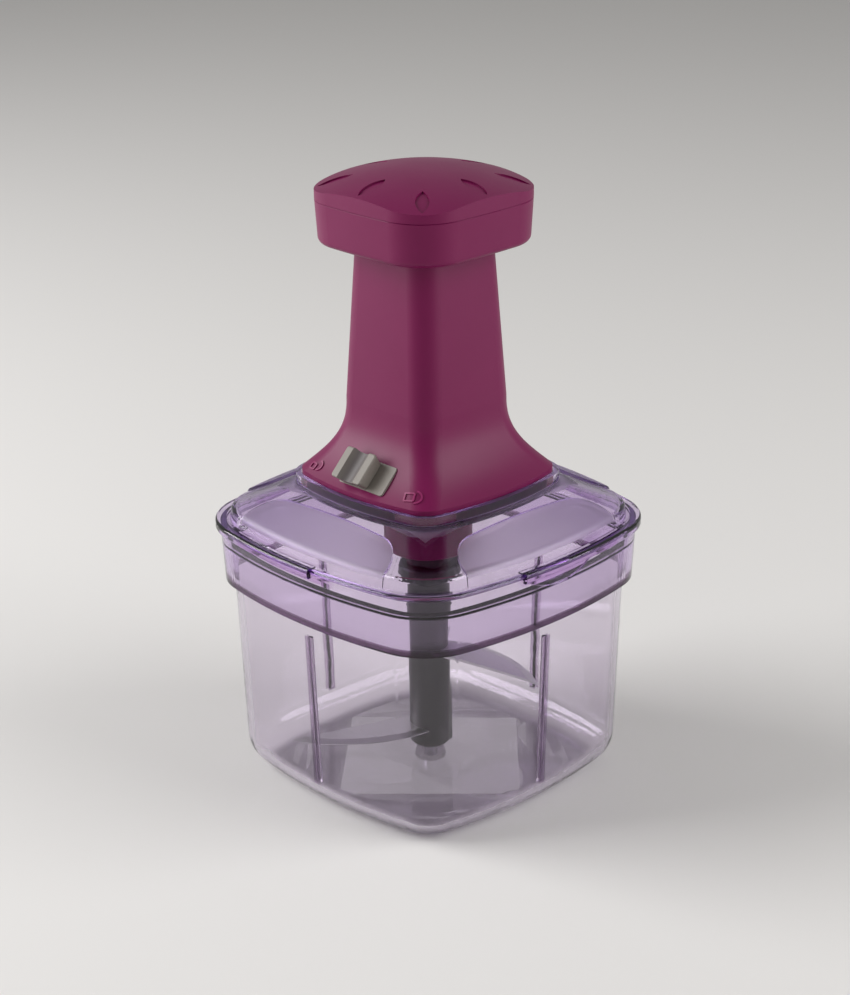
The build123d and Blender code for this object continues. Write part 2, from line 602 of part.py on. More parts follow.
def make_inner_sleeve():
    """The tube that carries the nut and runs in the tower, kept from turning by two keys"""
    sleeve = disc(SLEEVE_RADIUS, SLEEVE_Z, CAP_FLOOR_Z)
    sleeve += disc(SLEEVE_FLANGE, CAP_FLOOR_Z, CAP_FLOOR_Z + SLEEVE_FLANGE_THICKNESS)
    key = Box(KEY_ROOT + KEY_DEPTH, KEY_WIDTH, KEY_LENGTH, align=(Align.MIN, Align.CENTER, Align.MIN))
    sleeve += around(Pos(X=-KEY_ROOT, Z=SLEEVE_Z) * key, 2, SLEEVE_RADIUS)
    sleeve -= disc(SLEEVE_BORE, SLEEVE_Z, CAP_FLOOR_Z + SLEEVE_FLANGE_THICKNESS)
    sleeve -= disc(NUT_RADIUS, SLEEVE_Z, NUT_TOP_Z)
    thread = disc(NUT_SCREW_RADIUS, SLEEVE_Z, NUT_Z + NUT_SCREW_LENGTH + SCREW_END_GAP)
    sleeve -= around(thread, 3, NUT_SCREW_CIRCLE, 90)
    sleeve -= around(disc(SCREW_RADIUS + SCREW_GAP, CAP_FLOOR_Z, CAP_FLOOR_Z + SLEEVE_FLANGE_THICKNESS),
                     4, SLEEVE_SCREW_CIRCLE, 45)
    return one_piece(sleeve)


NUT_SCREW_CIRCLE = (NUT_RADIUS + SLEEVE_RADIUS) / 2
SLEEVE_SCREW_CIRCLE = (SLEEVE_RADIUS + SLEEVE_FLANGE) / 2


def make_sleeve_screws():
    high = CAP_FLOOR_Z + SLEEVE_FLANGE_THICKNESS
    head = disc(SLEEVE_SCREW_HEAD, high, high + SCREW_HEAD_HEIGHT)
    head = fillet(level_edges(head, high + SCREW_HEAD_HEIGHT), SCREW_HEAD_ROUND)
    screw = one_piece(head + disc(SCREW_RADIUS, CAP_FLOOR_Z - SLEEVE_SCREW_BITE, high))
    return around(screw, 4, SLEEVE_SCREW_CIRCLE, 45)


def make_drive_nut():
    """The nut that slides along the twisted bar and turns it"""
    nut = disc(NUT_RADIUS, NUT_Z, NUT_TOP_Z) + disc(NUT_FLANGE, NUT_Z, SLEEVE_Z)
    nut -= twisted_bar(NUT_GAP, NUT_Z - NUT_SLOT_RUNOUT, NUT_TOP_Z + NUT_SLOT_RUNOUT)
    hole = disc(NUT_SCREW_RADIUS, NUT_Z, SLEEVE_Z)
    hole += disc(NUT_SCREW_HEAD, NUT_Z, NUT_Z + NUT_SCREW_HEAD_HEIGHT)
    nut -= around(hole, 3, NUT_SCREW_CIRCLE, 90)
    return one_piece(nut)


def make_nut_screws():
    screw = disc(NUT_SCREW_RADIUS, NUT_Z, NUT_Z + NUT_SCREW_LENGTH)
    screw += disc(NUT_SCREW_HEAD, NUT_Z, NUT_Z + NUT_SCREW_HEAD_HEIGHT)
    return around(one_piece(screw), 3, NUT_SCREW_CIRCLE, 90)


def flare_plan(z, inset):
    """The handle's outline at a height between its flared foot and the start of its neck"""
    share = max(0.0, (NECK_Z - z) / FLARE_HEIGHT) ** FLARE_POWER
    half = NECK_FOOT_PLAN.half + share * (HANDLE_FOOT_PLAN.half - NECK_FOOT_PLAN.half)
    side = NECK_FOOT_PLAN.side_radius + share * (HANDLE_FOOT_PLAN.side_radius - NECK_FOOT_PLAN.side_radius)
    corner = NECK_FOOT_PLAN.corner + share * (HANDLE_FOOT_PLAN.corner - NECK_FOOT_PLAN.corner)
    return grown(Outline(half, side, corner), -inset)


def handle_body(inset, bottom, top):
    """The handle's foot, flare and neck as one block, or the hollow inside it"""
    steps = 5
    heights = [FLARE_Z + FLARE_HEIGHT * step / steps for step in range(steps + 1)]
    flare = loft([plan_face(flare_plan(z, inset), z) for z in heights])
    foot = prism(grown(HANDLE_FOOT_PLAN, -inset), bottom, FLARE_Z)
    neck = loft([
        plan_face(grown(NECK_FOOT_PLAN, -inset), NECK_Z),
        plan_face(grown(NECK_TOP_PLAN, -inset), top),
    ], ruled=True)
    return foot + flare + neck


def make_handle_shell():
    ring_low = grown(CAP_PLAN, -CAP_TAPER)
    cap = loft([plan_face(ring_low, CAP_Z), plan_face(CAP_PLAN, COVER_Z)], ruled=True)
    cap = fillet(level_edges(cap, CAP_Z), CAP_ROUND)
    cap = chamfer(level_edges(cap, COVER_Z), SEAM_CHAMFER)
    shell = handle_body(0, HANDLE_Z, CAP_Z + CAP_FLOOR / 2) + cap
    shell -= handle_body(HANDLE_WALL, HANDLE_Z, CAP_Z)
    shell -= prism(grown(ring_low, -HANDLE_WALL), CAP_FLOOR_Z, COVER_Z)
    shell -= disc(SLEEVE_RADIUS + SCREW_GAP, CAP_Z, CAP_FLOOR_Z)
    thread = disc(SCREW_RADIUS, CAP_FLOOR_Z - SLEEVE_SCREW_BITE, CAP_FLOOR_Z)
    shell -= around(thread, 4, SLEEVE_SCREW_CIRCLE, 45)
    wall = LOCK_WALL + PLATE_MARGIN
    seat = Pos(Z=-LOCK_WALL) * Box(PLATE_LENGTH + 2 * PLATE_MARGIN, PLATE_WIDTH + 2 * PLATE_MARGIN, LOCK_WALL,
                                   align=(Align.CENTER, Align.CENTER, Align.MIN))
    shell += (LOCK_PLANE * seat) & handle_body(0, HANDLE_Z, CAP_Z)
    pocket = Pos(Z=-LOCK_WALL) * Box(PLATE_LENGTH, PLATE_WIDTH - wall, 2 * LOCK_WALL,
                                     align=(Align.CENTER, Align.CENTER, Align.MAX))
    shell -= LOCK_PLANE * pocket
    shell -= LOCK_PLANE * extrude(Pos(Z=-PLATE_THICKNESS) * plate_sketch(), 2 * PLATE_THICKNESS)
    shell -= LOCK_PLANE * extrude(slot_sketch(), -2 * LOCK_WALL)
    return one_piece(shell)


LOCK_PLANE = Plane(origin=(LOCK_CENTRE_X, -LOCK_DEPTH_Y, LOCK_Z), x_dir=(1, 0, 0),
                   z_dir=(0, -math.sin(math.radians(LOCK_ANGLE)), math.cos(math.radians(LOCK_ANGLE))))


def plate_sketch():
    """The rounded outline of the plate behind the thumb piece"""
    return RectangleRounded(PLATE_LENGTH, PLATE_WIDTH, PLATE_CORNER)


def slot_sketch():
    """The slot that the lock's neck slides in"""
    length = LOCK_NECK_LENGTH + LOCK_TRAVEL + 2 * LOCK_GAP
    return Pos(X=-LOCK_NECK_OFFSET) * Rectangle(length, LOCK_NECK_WIDTH + 2 * LOCK_GAP)


def make_lock_plate():
    plate = extrude(plate_sketch(), -PLATE_THICKNESS) - extrude(slot_sketch(), -PLATE_THICKNESS)
    return one_piece(LOCK_PLANE * plate)


def make_lock_slider():
    """The thumb piece, shown at the left end of its slot"""
    narrow = THUMB_LENGTH - 2 * THUMB_UNDERCUT, THUMB_WIDTH - 2 * THUMB_UNDERCUT
    block = loft([
        Pos(Z=THUMB_GAP) * RectangleRounded(*narrow, THUMB_ROUND),
        Pos(Z=THUMB_GAP + THUMB_HEIGHT) * RectangleRounded(THUMB_LENGTH, THUMB_WIDTH, THUMB_ROUND),
    ], ruled=True)
    block = fillet(block.faces().sort_by(Axis.Z)[-1].edges(), THUMB_ROUND / 2)
    scoop_axis = Pos(Z=THUMB_HEIGHT + THUMB_SCOOP - THUMB_SCOOP_DEPTH) * Rot(X=90)
    block -= scoop_axis * Cylinder(THUMB_SCOOP, THUMB_WIDTH * 2)
    neck = Box(LOCK_NECK_LENGTH, LOCK_NECK_WIDTH, LOCK_WALL + LOCK_GAP + THUMB_GAP,
               align=(Align.CENTER, Align.CENTER, Align.MAX))
    slider = block + Pos(X=-LOCK_NECK_OFFSET, Z=THUMB_GAP) * neck
    return one_piece(LOCK_PLANE * Pos(X=-LOCK_TRAVEL / 2) * slider)


def make_lock_bolt():
    """The keeper behind the slot, with the leg and toe that reach under the lid's hook"""
    keeper = Pos(Z=-LOCK_WALL - LOCK_GAP) * Box(KEEPER_LENGTH, KEEPER_WIDTH, KEEPER_THICKNESS,
                                                align=(Align.CENTER, Align.CENTER, Align.MAX))
    keeper = LOCK_PLANE * keeper
    leg_top = LOCK_Z
    leg = Pos(LOCK_CENTRE_X, LEG_Y, TOE_Z) * Box(BOLT_LENGTH, BOLT_THICKNESS, leg_top - TOE_Z,
                                     align=(Align.CENTER, Align.MIN, Align.MIN))
    toe = Pos(LOCK_CENTRE_X, LEG_Y, TOE_Z) * Box(BOLT_LENGTH, TOE_DEPTH, TOE_THICKNESS,
                                     align=(Align.CENTER, Align.MIN, Align.MIN))
    above_keeper = Pos(Z=-LOCK_WALL - LOCK_GAP) * Box(PLATE_LENGTH, 4 * PLATE_WIDTH, 2 * PLATE_WIDTH,
                                                      align=(Align.CENTER, Align.CENTER, Align.MIN))
    leg -= LOCK_PLANE * above_keeper
    return one_piece(Pos(X=-LOCK_TRAVEL / 2) * (keeper + leg + toe))


KEEPER_Y = -LOCK_DEPTH_Y + (LOCK_WALL + LOCK_GAP + KEEPER_THICKNESS / 2) * math.sin(math.radians(LOCK_ANGLE))
LEG_Y = KEEPER_Y - BOLT_THICKNESS
TOE_Z = WELL_TOP_Z + HOOK_GAP
HOOK_SHELF_Z = TOE_Z + TOE_THICKNESS + HOOK_GAP
HOOK_REACH = TOE_DEPTH - BOLT_THICKNESS - HOOK_GAP + HOOK_OVERLAP
HOOK_INNER_Y = LEG_Y + BOLT_THICKNESS + HOOK_GAP + HOOK_REACH + HOOK_THICKNESS
HOOK_X = LOCK_CENTRE_X - LOCK_TRAVEL / 2 + BOLT_LENGTH / 2 + HOOK_CLEARANCE


def leaf_sketch():
    """A leaf-shaped outline, pointed at both ends"""
    tip = LEAF_LENGTH / 2
    right = ThreePointArc((0, -tip), (LEAF_WIDTH / 2, 0), (0, tip))
    left = ThreePointArc((0, tip), (-LEAF_WIDTH / 2, 0), (0, -tip))
    return make_face([right, left])


def make_handle_cover():
    """The domed cover that closes the cap, with a ring of leaf-shaped recesses"""
    corner_reach = CAP_PLAN.half * math.sqrt(2) - CAP_PLAN.corner * (math.sqrt(2) - 1)
    dome_radius = (corner_reach**2 + COVER_DOME_RISE**2) / (2 * COVER_DOME_RISE)
    dome = Pos(Z=COVER_TOP_Z - dome_radius) * Sphere(dome_radius)
    cover = prism(CAP_PLAN, COVER_Z, COVER_TOP_Z) & dome
    hollow = prism(grown(CAP_PLAN, -HANDLE_WALL - COVER_WALL), COVER_Z, COVER_TOP_Z)
    hollow &= Pos(Z=COVER_TOP_Z - dome_radius) * Sphere(dome_radius - COVER_WALL)
    spigot_plan = grown(CAP_PLAN, -CAP_TAPER - HANDLE_WALL - COVER_GAP)
    spigot = prism(spigot_plan, COVER_Z - COVER_SPIGOT, COVER_Z)
    spigot -= prism(grown(spigot_plan, -COVER_WALL), COVER_Z - COVER_SPIGOT, COVER_Z)
    cover = cover - hollow + spigot
    cut = extrude(Rot(Z=90) * leaf_sketch(), COVER_HEIGHT * 2)
    skin = Pos(Z=COVER_TOP_Z - dome_radius) * Sphere(dome_radius - LEAF_DEPTH)
    for eighth in range(8):
        reach = CAP_PLAN.half if eighth % 2 == 0 else corner_reach
        middle = reach - LEAF_SETBACK - LEAF_LENGTH / 2
        leaf = Rot(Z=45 * eighth) * Pos(X=middle, Z=COVER_Z) * cut
        cover -= leaf - skin
    return one_piece(cover)


def main():
    blades = make_blades()
    pieces = {
        "bowl": make_bowl(),
        "centre_pin": make_centre_pin(),
        "blade_shaft": make_blade_shaft(blades),
        **blades,
        "lid": make_lid(),
        "drive_housing": make_drive_housing(),
        "guide_tower": make_guide_tower(),
        "housing_screws": make_housing_screws(),
        "spindle_bush": make_spindle_bush(),
        "thrust_washer": make_thrust_washer(),
        "return_spring": make_return_spring(),
        "twist_spindle": make_twist_spindle(),
        "driver_pin": driver_pin_block(),
        "pawl_driver": make_pawl_driver(),
        "drive_coupling": make_drive_coupling(),
        "inner_sleeve": make_inner_sleeve(),
        "sleeve_screws": make_sleeve_screws(),
        "drive_nut": make_drive_nut(),
        "nut_screws": make_nut_screws(),
        "handle_shell": make_handle_shell(),
        "handle_cover": make_handle_cover(),
        "lock_plate": make_lock_plate(),
        "lock_slider": make_lock_slider(),
        "lock_bolt": make_lock_bolt(),
    }
    for name, shape in pieces.items():
        group = shape if isinstance(shape, list) else [shape]
        export_step(Compound(children=[solid for item in group for solid in item.solids()]),
                    os.path.join("parts", name + ".step"))


main()
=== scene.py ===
import math

import bpy
from mathutils import Euler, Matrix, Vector


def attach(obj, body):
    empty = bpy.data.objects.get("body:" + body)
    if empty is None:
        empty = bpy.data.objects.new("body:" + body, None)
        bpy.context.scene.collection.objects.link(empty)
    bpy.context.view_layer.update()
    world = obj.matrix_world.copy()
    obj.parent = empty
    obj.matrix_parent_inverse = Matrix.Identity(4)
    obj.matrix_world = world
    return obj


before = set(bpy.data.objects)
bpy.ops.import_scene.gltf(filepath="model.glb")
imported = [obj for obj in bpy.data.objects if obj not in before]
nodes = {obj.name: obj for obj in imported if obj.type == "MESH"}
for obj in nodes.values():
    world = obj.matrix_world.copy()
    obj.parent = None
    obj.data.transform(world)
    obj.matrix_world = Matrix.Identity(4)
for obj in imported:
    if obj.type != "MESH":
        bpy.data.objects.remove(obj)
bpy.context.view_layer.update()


# The camera stands off the corner between the lock's side and the right side, above the
# rim and looking down on it. It is a long lens, so the far corner is nearly full size.
CAMERA_AZIMUTH = math.radians(46.05)
CAMERA_DISTANCE = 0.850
CAMERA_HEIGHT = 0.440
CAMERA_DIP = math.radians(21.4)
CAMERA_ROLL = math.radians(-0.73)
CAMERA_SHIFT = -0.0032
PHOTO_WIDTH = 850
LENS_PIXELS = 2488

camera = bpy.data.cameras.new("camera")
camera.sensor_fit = "HORIZONTAL"
camera.lens = LENS_PIXELS * camera.sensor_width / PHOTO_WIDTH
camera.shift_x = CAMERA_SHIFT
eye = bpy.data.objects.new("camera", camera)
eye_x = CAMERA_DISTANCE * math.sin(CAMERA_AZIMUTH)
eye_y = -CAMERA_DISTANCE * math.cos(CAMERA_AZIMUTH)
eye.location = (eye_x, eye_y, CAMERA_HEIGHT)
look = Euler((math.pi / 2 - CAMERA_DIP, 0, CAMERA_AZIMUTH)).to_matrix()
eye.rotation_euler = (look @ Euler((0, 0, CAMERA_ROLL)).to_matrix()).to_euler()
bpy.context.collection.objects.link(eye)
bpy.context.scene.camera = eye


# A plain pale floor under an even pale sky. Two broad soft lamps stand low on the left and
# the right, so the sides shine and the corner towards the camera stays deep in colour.
FLOOR_HALF = 6.0
FLOOR_COLOUR = (0.78, 0.765, 0.75)
FLOOR_ROUGHNESS = 0.9
SKY_COLOUR = (0.95, 0.94, 0.925)
SKY_SEEN = 0.48
SKY_LIGHT = 0.26
LAMP_WIDTH = 1.1
LAMP_TARGET = (0, 0, 0.12)


def lay_floor():
    bpy.ops.object.select_all(action="DESELECT")
    bpy.ops.mesh.primitive_plane_add(size=2 * FLOOR_HALF)
    plane = bpy.context.object
    plane.name = "floor"
    return plane


def matt_pale(name, colour):
    material = bpy.data.materials.new(name)
    material.use_nodes = True
    shader = material.node_tree.nodes["Principled BSDF"]
    shader.inputs["Base Color"].default_value = (*colour, 1)
    shader.inputs["Roughness"].default_value = FLOOR_ROUGHNESS
    return material


floor = lay_floor()
floor.data.materials.append(matt_pale("pale_floor", FLOOR_COLOUR))


def soft_lamp(name, power, place):
    """A square soft lamp that faces the chopper"""
    lamp = bpy.data.lights.new(name, "AREA")
    lamp.size = LAMP_WIDTH
    lamp.energy = power
    stand = bpy.data.objects.new(name, lamp)
    stand.location = place
    facing = Vector(LAMP_TARGET) - Vector(place)
    stand.rotation_euler = facing.to_track_quat("-Z", "Y").to_euler()
    bpy.context.collection.objects.link(stand)


soft_lamp("left_lamp", power=23, place=(-0.93, -0.85, 0.72))
soft_lamp("right_lamp", power=13, place=(1.05, 0.62, 0.66))


def pale_sky():
    """An even sky that is paler to the camera and in reflections than it is as a light"""
    world = bpy.data.worlds.new("sky")
    world.use_nodes = True
    tree = world.node_tree
    background = tree.nodes["Background"]
    background.inputs["Color"].default_value = (*SKY_COLOUR, 1)
    ray = tree.nodes.new("ShaderNodeLightPath")
    seen = tree.nodes.new("ShaderNodeMath")
    seen.operation = "ADD"
    tree.links.new(ray.outputs["Is Camera Ray"], seen.inputs[0])
    tree.links.new(ray.outputs["Is Transmission Ray"], seen.inputs[1])
    bright = tree.nodes.new("ShaderNodeMath")
    bright.operation = "ADD"
    tree.links.new(seen.outputs[0], bright.inputs[0])
    tree.links.new(ray.outputs["Is Glossy Ray"], bright.inputs[1])
    strength = tree.nodes.new("ShaderNodeMapRange")
    strength.inputs["To Min"].default_value = SKY_LIGHT
    strength.inputs["To Max"].default_value = SKY_SEEN
    tree.links.new(bright.outputs[0], strength.inputs["Value"])
    tree.links.new(strength.outputs["Result"], background.inputs["Strength"])
    return world


bpy.context.scene.world = pale_sky()
bpy.context.scene.view_settings.view_transform = "Standard"


# The grip mouldings: plum-purple plastic with a satin, finely textured skin. The handle is
# one moulding from its foot to the cap's ring, and the domed cover snaps into the ring.
PLUM = (0.174, 0.003, 0.067)
PLUM_SHADE = (0.154, 0.0025, 0.059)
GRAIN_SIZE = 2500
GRAIN_DETAIL = 2
GRAIN_STRENGTH = 0.35
MOTTLE_SIZE = 60
MOTTLE_DETAIL = 4
ROUGHNESS_SPREAD = 0.05


def noise(tree, vector, size, detail):
    """A noise pattern's number, for a vector that the pattern is laid on"""
    pattern = tree.nodes.new("ShaderNodeTexNoise")
    pattern.inputs["Scale"].default_value = size
    pattern.inputs["Detail"].default_value = detail
    tree.links.new(vector, pattern.inputs["Vector"])
    return pattern.outputs["Fac"]


def in_range(tree, value, low, high):
    """A number from 0 to 1 spread over the range from low to high"""
    node = tree.nodes.new("ShaderNodeMapRange")
    node.inputs["To Min"].default_value = low
    node.inputs["To Max"].default_value = high
    tree.links.new(value, node.inputs["Value"])
    return node.outputs["Result"]


def rippled_normal(tree, height, strength, distance):
    """The normal of a surface that a height pattern lifts"""
    bump = tree.nodes.new("ShaderNodeBump")
    bump.inputs["Strength"].default_value = strength
    bump.inputs["Distance"].default_value = distance
    tree.links.new(height, bump.inputs["Height"])
    return bump.outputs["Normal"]


def moulded_skin_group():
    """Fine moulded texture, with faint mottling and handled patches"""
    group = bpy.data.node_groups.new("moulded_skin", "ShaderNodeTree")
    for name in ("Grain", "Mottle"):
        group.interface.new_socket(name, in_out="OUTPUT", socket_type="NodeSocketFloat")
    leave = group.nodes.new("NodeGroupOutput")
    place = group.nodes.new("ShaderNodeTexCoord").outputs["Object"]
    grain = noise(group, place, GRAIN_SIZE, GRAIN_DETAIL)
    mottle = noise(group, place, MOTTLE_SIZE, MOTTLE_DETAIL)
    group.links.new(grain, leave.inputs["Grain"])
    group.links.new(mottle, leave.inputs["Mottle"])
    return group


moulded_skin = moulded_skin_group()


def moulded_plastic(name, colour, shade, rough, sheen, grain_depth):
    """Satin plastic: colour and shade mix in soft patches, and the grain lifts the skin"""
    material = bpy.data.materials.new(name)
    material.use_nodes = True
    tree = material.node_tree
    shader = tree.nodes["Principled BSDF"]
    shader.inputs["Specular IOR Level"].default_value = sheen
    skin = tree.nodes.new("ShaderNodeGroup")
    skin.node_tree = moulded_skin
    tint = tree.nodes.new("ShaderNodeMix")
    tint.data_type = "RGBA"
    tint.inputs["A"].default_value = (*colour, 1)
    tint.inputs["B"].default_value = (*shade, 1)
    tree.links.new(skin.outputs["Mottle"], tint.inputs["Factor"])
    tree.links.new(tint.outputs["Result"], shader.inputs["Base Color"])
    smoothest, roughest = rough - ROUGHNESS_SPREAD, rough + ROUGHNESS_SPREAD
    gloss = in_range(tree, skin.outputs["Mottle"], smoothest, roughest)
    tree.links.new(gloss, shader.inputs["Roughness"])
    normal = rippled_normal(tree, skin.outputs["Grain"], GRAIN_STRENGTH, grain_depth)
    tree.links.new(normal, shader.inputs["Normal"])
    return material


def finish_node(name, material):
    """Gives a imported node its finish"""
    node = nodes[name]
    node.data.materials.clear()
    node.data.materials.append(material)


plum_plastic = moulded_plastic(
    "plum_plastic", PLUM, PLUM_SHADE, rough=0.42, sheen=0.29, grain_depth=0.00002)
for piece in ("handle_shell", "handle_cover", "drive_housing", "guide_tower"):
    finish_node(piece, plum_plastic)


# The lock's thumb piece and plate: mid-grey satin plastic, snapped into the handle's flare.
# The thumb piece's scoop is painted darker along its bottom, a painted shade.
LOCK_GREY = (0.25, 0.225, 0.20)
LOCK_GREY_SHADE = (0.22, 0.20, 0.175)
SCOOP_PAINTED_SHADE = (0.115, 0.10, 0.10)
SCOOP_LEFT = -0.0027
SCOOP_RIGHT = 0.0008
SCOOP_FADE = 0.0024


def place_axes(tree):
    """The three outputs of a point's place on the chopper, in metres"""
    place = tree.nodes.new("ShaderNodeTexCoord")
    split = tree.nodes.new("ShaderNodeSeparateXYZ")
    tree.links.new(place.outputs["Object"], split.inputs["Vector"])
    return split.outputs


def joined(tree, operation, first, second):
    """One number from two, by a Math node"""
    node = tree.nodes.new("ShaderNodeMath")
    node.operation = operation
    tree.links.new(first, node.inputs[0])
    tree.links.new(second, node.inputs[1])
    return node.outputs[0]


def above(tree, value, edge, soft):
    """1 where a value is over an edge, falling to 0 over a soft margin under it"""
    rise = tree.nodes.new("ShaderNodeMapRange")
    rise.inputs["From Min"].default_value = edge - soft
    rise.inputs["From Max"].default_value = edge
    tree.links.new(value, rise.inputs["Value"])
    return rise.outputs["Result"]


def below(tree, value, edge, soft):
    """1 where a value is under an edge, falling to 0 over a soft margin above it"""
    fall = tree.nodes.new("ShaderNodeMapRange")
    fall.inputs["From Min"].default_value = edge
    fall.inputs["From Max"].default_value = edge + soft
    fall.inputs["To Min"].default_value = 1
    fall.inputs["To Max"].default_value = 0
    tree.links.new(value, fall.inputs["Value"])
    return fall.outputs["Result"]


def between(tree, value, low, high, soft):
    """1 where a value lies between two edges, falling to 0 over soft margins outside them"""
    return joined(tree, "MULTIPLY", above(tree, value, low, soft), below(tree, value, high, soft))


def lay_over(tree, socket_name, second, mask):
    """Mixes a second colour or number into what feeds the shader's socket, where a mask is 1"""
    socket = tree.nodes["Principled BSDF"].inputs[socket_name]
    mix = tree.nodes.new("ShaderNodeMix")
    if socket.type == "RGBA":
        mix.data_type = "RGBA"
        second = (*second, 1)
    mix.inputs["B"].default_value = second
    tree.links.new(mask, mix.inputs["Factor"])
    if socket.is_linked:
        tree.links.new(socket.links[0].from_socket, mix.inputs["A"])
    else:
        mix.inputs["A"].default_value = socket.default_value
    tree.links.new(mix.outputs["Result"], socket)


def lock_plastic(name):
    return moulded_plastic(
        name, LOCK_GREY, LOCK_GREY_SHADE, rough=0.45, sheen=0.4, grain_depth=0.00002)


def thumb_plastic():
    """The lock's grey, with a painted shade along the bottom of the thumb piece's scoop"""
    material = lock_plastic("thumb_plastic")
    tree = material.node_tree
    x = place_axes(tree)["X"]
    scoop = between(tree, x, SCOOP_LEFT, SCOOP_RIGHT, SCOOP_FADE)
    # Painted shade: a darker grey laid along the scoop's bottom, where shade falls.
    lay_over(tree, "Base Color", SCOOP_PAINTED_SHADE, scoop)
    return material


finish_node("lock_slider", thumb_plastic())
finish_node("lock_plate", lock_plastic("grey_plastic"))


# The two lock signs: raised outlines of an open and a closed padlock, moulded with the flare
# on either side of the thumb piece. Each is a thin frame for the body and a bowed bar.
SIGN_LINE = 0.0006
SIGN_RISE = 0.0008
SIGN_CORNER = 0.0006
BOW_CORNERS = 32
# The signs' plum is lighter than the flare's plum: a painted highlight along the raised outlines.
SIGN_HIGHLIGHT_PLUM = (0.270, 0.020, 0.115)
SIGN_HIGHLIGHT_PLUM_SHADE = (0.240, 0.016, 0.100)
sign_plastic = moulded_plastic(
    "sign_plastic", SIGN_HIGHLIGHT_PLUM, SIGN_HIGHLIGHT_PLUM_SHADE, rough=0.36, sheen=0.40, grain_depth=0.00001)


def sign_body(width, height, aside):
    """A flat rounded frame, the padlock's body"""
    bpy.ops.object.select_all(action="DESELECT")
    bpy.ops.mesh.primitive_plane_add(size=1, location=(aside, 0, 0))
    body = bpy.context.object
    body.scale = (width, height, 1)
    bpy.ops.object.transform_apply(location=True, scale=True)
    bpy.ops.object.mode_set(mode="EDIT")
    bpy.ops.mesh.select_all(action="SELECT")
    bpy.ops.mesh.bevel(offset=SIGN_CORNER, segments=3, affect="VERTICES")
    bpy.ops.mesh.select_all(action="SELECT")
    bpy.ops.mesh.inset(thickness=SIGN_LINE, depth=0)
    bpy.ops.mesh.delete(type="FACE")
    bpy.ops.object.mode_set(mode="OBJECT")
    return body


def sign_bow(radius, place):
    """A flat half ring whose open side faces the body, the padlock's bow"""
    bpy.ops.object.select_all(action="DESELECT")
    bpy.ops.mesh.primitive_circle_add(vertices=BOW_CORNERS, radius=radius, fill_type="NOTHING")
    bow = bpy.context.object
    bpy.ops.object.mode_set(mode="EDIT")
    bpy.ops.mesh.select_all(action="SELECT")
    bpy.ops.mesh.extrude_edges_move()
    shrink = (radius - SIGN_LINE) / radius
    bpy.ops.transform.resize(value=(shrink, shrink, 1), center_override=(0, 0, 0))
    bpy.ops.mesh.select_all(action="SELECT")
    bpy.ops.mesh.bisect(plane_co=(0, 0, 0), plane_no=(1, 0, 0), clear_inner=True)
    bpy.ops.object.mode_set(mode="OBJECT")
    bow.location = (*place, 0)
    bpy.ops.object.transform_apply(location=True, rotation=True, scale=True)
    return bow


def seat_sign(name, parts, middle, tilt, heading):
    """Joins a sign's flat parts, lays them on the flare and gives them their thickness"""
    bpy.ops.object.select_all(action="DESELECT")
    for part in parts:
        part.select_set(True)
    sign = parts[0]
    bpy.context.view_layer.objects.active = sign
    bpy.ops.object.join()
    sign.name = name
    bpy.ops.object.mode_set(mode="EDIT")
    bpy.ops.mesh.select_all(action="SELECT")
    bpy.ops.mesh.subdivide(number_cuts=1)
    bpy.ops.object.mode_set(mode="OBJECT")
    sign.location = middle
    sign.rotation_euler = (math.radians(tilt), 0, math.radians(heading))
    bpy.ops.object.transform_apply(location=True, rotation=True, scale=True)
    seat = sign.modifiers.new("seat", "SHRINKWRAP")
    seat.target = nodes["handle_shell"]
    seat.wrap_method = "NEAREST_SURFACEPOINT"
    bpy.ops.object.modifier_apply(modifier=seat.name)
    rise = sign.modifiers.new("rise", "SOLIDIFY")
    rise.thickness = SIGN_RISE
    rise.offset = 0
    bpy.ops.object.modifier_apply(modifier=rise.name)
    sign.data.materials.append(sign_plastic)
    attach(sign, "handle_body")


closed_parts = [
    sign_body(width=0.0044, height=0.0036, aside=-0.0026),
    sign_bow(radius=0.0026, place=(-0.0002, 0)),
]
seat_sign("sign_closed", closed_parts, middle=(0.0266, -0.0313, 0.1228), tilt=39.6, heading=25.8)
open_parts = [
    sign_body(width=0.0032, height=0.0030, aside=-0.0016),
    sign_bow(radius=0.0022, place=(0.0008, 0.0010)),
]
seat_sign("sign_open", open_parts, middle=(-0.0234, -0.0333, 0.1217), tilt=42, heading=-10.3)


# The blade shaft and the drive's inner mouldings: black plastic for shaft, coupling and
# sleeve, and white acetal for what rubs.
BLACK = (0.018, 0.013, 0.018)
BLACK_SHADE = (0.012, 0.009, 0.012)
ACETAL = (0.75, 0.73, 0.69)
ACETAL_SHADE = (0.70, 0.68, 0.64)
black_plastic = moulded_plastic(
    "black_plastic", BLACK, BLACK_SHADE, rough=0.38, sheen=0.35, grain_depth=0.00002)
acetal = moulded_plastic(
    "acetal", ACETAL, ACETAL_SHADE, rough=0.40, sheen=0.45, grain_depth=0.00001)
for piece in ("blade_shaft", "drive_coupling", "inner_sleeve"):
    finish_node(piece, black_plastic)
for piece in ("drive_nut", "pawl_driver", "thrust_washer", "lock_bolt"):
    finish_node(piece, acetal)


# The metal: blades of ground stainless sheet, drawn bar, wire and screws, and a brass bush.
BLADE_COLOUR = (0.58, 0.57, 0.58)
BAR_COLOUR = (0.55, 0.55, 0.56)
BRASS_COLOUR = (0.72, 0.50, 0.22)
SMOOTHER = 0.08
ROUGHER = 0.10
LINE_DETAIL = 3
LINE_STRENGTH = 0.1
LINE_DEPTH = 0.00002


